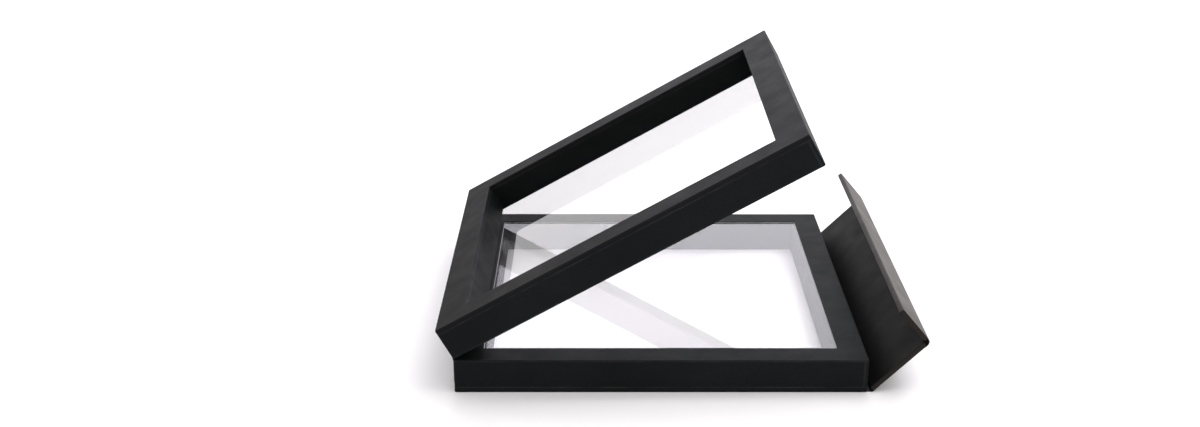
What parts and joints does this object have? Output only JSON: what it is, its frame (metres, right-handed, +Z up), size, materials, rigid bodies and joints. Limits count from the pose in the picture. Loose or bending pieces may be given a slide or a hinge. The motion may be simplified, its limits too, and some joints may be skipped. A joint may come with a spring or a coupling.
{
  "type": "floating display frame",
  "caption": "Hinged square display frame whose two halves hold an object between clear stretch films, shut by a folding magnetic flap.",
  "frame": {"origin": "on the table, under the middle of the open frame's outline", "axes": "+X from the hinge side towards the flap, +Y from front to back, +Z up"},
  "size_m": [0.2728, 0.23, 0.1504],
  "materials": {
    "core_board": "raw fibreboard, hidden under paper",
    "black_board": "pressed board wrapped in satin black paper",
    "black_paper": "satin black, fine leather grain",
    "spine_paper": "satin black spine paper",
    "clear_film": "clear stretch film",
    "film_tape": "thin double-sided tape",
    "magnet_steel": "plated",
    "flap_leatherette": "satin leatherette, warm grey black",
    "flap_lining": "matt black lining paper"
  },
  "bodies": {
    "base": {"base_front_rail": "core_board", "base_back_rail": "core_board", "base_left_rail": "core_board", "base_right_rail": "core_board", "base_bottom_board": "black_board", "base_facing_board": "black_board", "base_outer_paper": "black_paper", "base_inner_lining": "black_paper", "base_film": "clear_film", "base_film_tape": "film_tape", "spine_base_leaf": "spine_paper", "flap_glue_strip": "flap_leatherette"},
    "lid": {"lid_front_rail": "core_board", "lid_back_rail": "core_board", "lid_left_rail": "core_board", "lid_right_rail": "core_board", "lid_cover_board": "black_board", "lid_facing_board": "black_board", "lid_outer_paper": "black_paper", "lid_inner_lining": "black_paper", "lid_film": "clear_film", "lid_film_tape": "film_tape", "lid_steel_discs": "magnet_steel", "spine_lid_leaf": "spine_paper"},
    "flap_side": {"flap_side_cover": "flap_leatherette", "flap_side_board": "core_board", "flap_side_lining": "flap_lining"},
    "flap_top": {"flap_top_cover": "flap_leatherette", "flap_top_board": "core_board", "flap_top_lining": "flap_lining", "flap_magnets": "magnet_steel"}
  },
  "joints": [
    {"name": "lid_hinge", "type": "hinge", "parent": "base", "child": "lid", "pos_m": [-0.12719, 0, 0.01985], "axis": [0, -1, 0], "range_deg": [-29.5, 150.5]},
    {"name": "flap_hinge", "type": "hinge", "parent": "base", "child": "flap_side", "pos_m": [0.10636, 0, 0.0002], "axis": [0, -1, 0], "range_deg": [-45, 41]},
    {"name": "flap_fold", "type": "hinge", "parent": "flap_side", "child": "flap_top", "pos_m": [0.13656, 0, 0.0304], "axis": [0, -1, 0], "range_deg": [-85, 9]}
  ]
}
